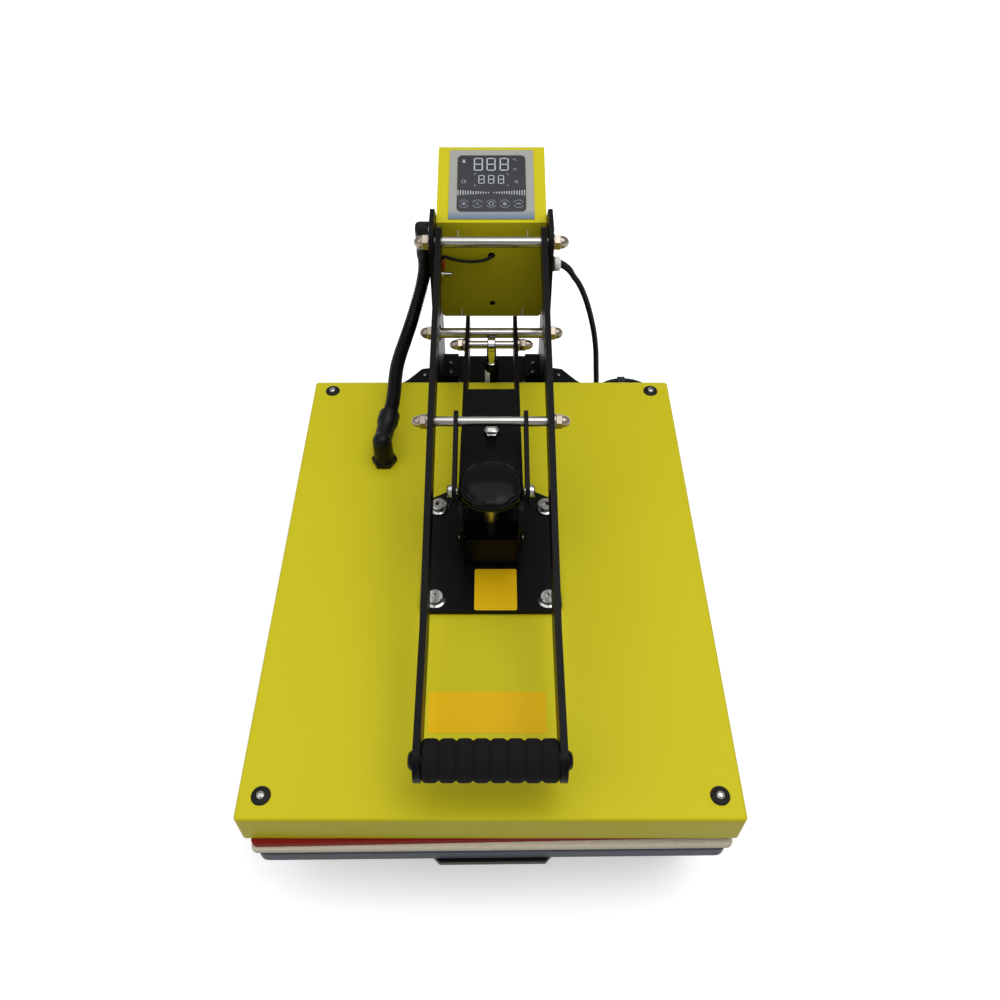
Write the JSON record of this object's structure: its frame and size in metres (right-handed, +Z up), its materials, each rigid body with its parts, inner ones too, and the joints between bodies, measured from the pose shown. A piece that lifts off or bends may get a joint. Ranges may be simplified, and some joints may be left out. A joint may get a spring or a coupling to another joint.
{
  "type": "slide-out heat press",
  "caption": "Clamshell heat press with a yellow heated platen on a toggle arm, a slide-out padded lower platen, a control box, a ribbed conduit and a coiled mains lead.",
  "frame": {"origin": "on the floor, under the middle of the press's box, measured without the mains lead", "axes": "+Z up, the operator at -Y, the conduit on the -X side and the mains lead on the +X side"},
  "size_m": [0.455, 0.7234, 0.364],
  "materials": {
    "yellow_paint": "satin",
    "black_paint": "satin",
    "tray_paint": "satin",
    "zinc": "satin",
    "chrome": "polished",
    "cast_aluminium": "matte",
    "black_rubber": "matte",
    "black_plastic": "satin",
    "knob_plastic": "gloss",
    "white_plastic": "satin",
    "panel_overlay": "satin",
    "display_cover": "gloss",
    "circuit_board": "satin",
    "red_silicone": "matte",
    "cream_felt": "matte",
    "insulation": "matte"
  },
  "bodies": {
    "frame": {"base_plate": "black_paint", "base_rail_left": "black_paint", "base_rail_right": "black_paint", "base_crossbar": "black_paint", "base_tail": "black_paint", "foot_front_left": "black_rubber", "foot_front_right": "black_rubber", "foot_rear_left": "black_rubber", "foot_rear_right": "black_rubber", "upright_left": "black_paint", "upright_right": "black_paint", "handle_pivot_rod": "zinc", "arm_pivot_rod": "zinc", "slide_channel_left": "zinc", "slide_channel_right": "zinc", "control_box_shell": "yellow_paint", "control_box_back": "yellow_paint", "control_panel": "panel_overlay", "display_window": "display_cover", "control_board": "circuit_board", "power_switch_frame": "black_plastic", "conduit_elbow_upper": "black_plastic", "conduit": "black_plastic", "cable_gland": "white_plastic", "mains_cord": "black_rubber", "cord_coil": "black_rubber", "mains_plug": "black_rubber", "strut_bracket": "black_paint"},
    "switch": {"power_switch_rocker": "black_plastic"},
    "arm": {"arm_plate_left": "black_paint", "arm_plate_right": "black_paint", "arm_cap": "black_paint", "strut_pin": "zinc"},
    "handle": {"handle_arm_left": "black_paint", "handle_arm_right": "black_paint", "link_rod": "zinc", "handle_grip": "black_rubber", "grip_tube": "zinc"},
    "links": {"link_left": "black_paint", "link_right": "black_paint", "link_pin_left": "zinc", "link_pin_right": "zinc"},
    "strut_cylinder": {"gas_strut_cylinder": "black_paint"},
    "strut_rod": {"gas_strut_rod": "chrome"},
    "platen": {"platen_cover": "yellow_paint", "heater_plate": "cast_aluminium", "insulation_sheet": "insulation", "mounting_plate": "black_paint", "pressure_bracket": "black_paint", "bracket_pin": "zinc", "conduit_elbow_lower": "black_plastic"},
    "knob": {"pressure_knob": "knob_plastic", "pressure_screw": "zinc"},
    "drawer": {"drawer_tray": "tray_paint", "felt_pad": "cream_felt", "silicone_pad": "red_silicone", "drawer_pull": "black_paint", "slide_runner_left": "zinc", "slide_runner_right": "zinc"}
  },
  "joints": [
    {"name": "arm_lift", "type": "hinge", "parent": "frame", "child": "arm", "pos_m": [0, 0.2033, 0.21], "axis": [-1, 0, 0], "range_deg": [0, 41.68], "deforming": ["conduit"]},
    {"name": "handle_lift", "type": "hinge", "parent": "frame", "child": "handle", "pos_m": [0, 0.2173, 0.328], "axis": [-1, 0, 0], "range_deg": [0, 62.1]},
    {"name": "link_swing", "type": "hinge", "parent": "handle", "child": "links", "pos_m": [0, -0.0117, 0.2795], "axis": [-1, 0, 0], "range_deg": [-105.7, 0]},
    {"name": "strut_swing", "type": "hinge", "parent": "arm", "child": "strut_cylinder", "pos_m": [0, 0.1693, 0.221], "axis": [-1, 0, 0], "range_deg": [-35.9, 0]},
    {"name": "strut_extend", "type": "slide", "parent": "strut_cylinder", "child": "strut_rod", "axis": [0, 0.224, -0.9746], "range_m": [0, 0.0169]},
    {"name": "pressure_travel", "type": "slide", "parent": "arm", "child": "platen", "axis": [0, 0, 1], "range_m": [0, 0.008], "deforming": ["conduit"]},
    {"name": "knob_turn", "type": "hinge", "parent": "platen", "child": "knob", "pos_m": [0, -0.0927, 0.2735], "axis": [0, 0, 1], "range_deg": [0, 1153]},
    {"name": "drawer_slide", "type": "slide", "parent": "frame", "child": "drawer", "axis": [0, -1, 0], "range_m": [0, 0.3]},
    {"name": "power_rocker", "type": "hinge", "parent": "frame", "child": "switch", "pos_m": [0.026, 0.35874, 0.227], "axis": [1, 0, 0], "range_deg": [0, 16]}
  ],
  "couplings": [
    {"joint": "handle_lift", "follows": "arm_lift", "ratio": 1.4876},
    {"joint": "link_swing", "follows": "arm_lift", "ratio": -2.532},
    {"joint": "strut_swing", "follows": "arm_lift", "ratio": -0.85929},
    {"joint": "strut_extend", "follows": "arm_lift", "m_per_rad": 0.023061},
    {"joint": "knob_turn", "follows": "pressure_travel", "rad_per_m": 2513.3}
  ]
}
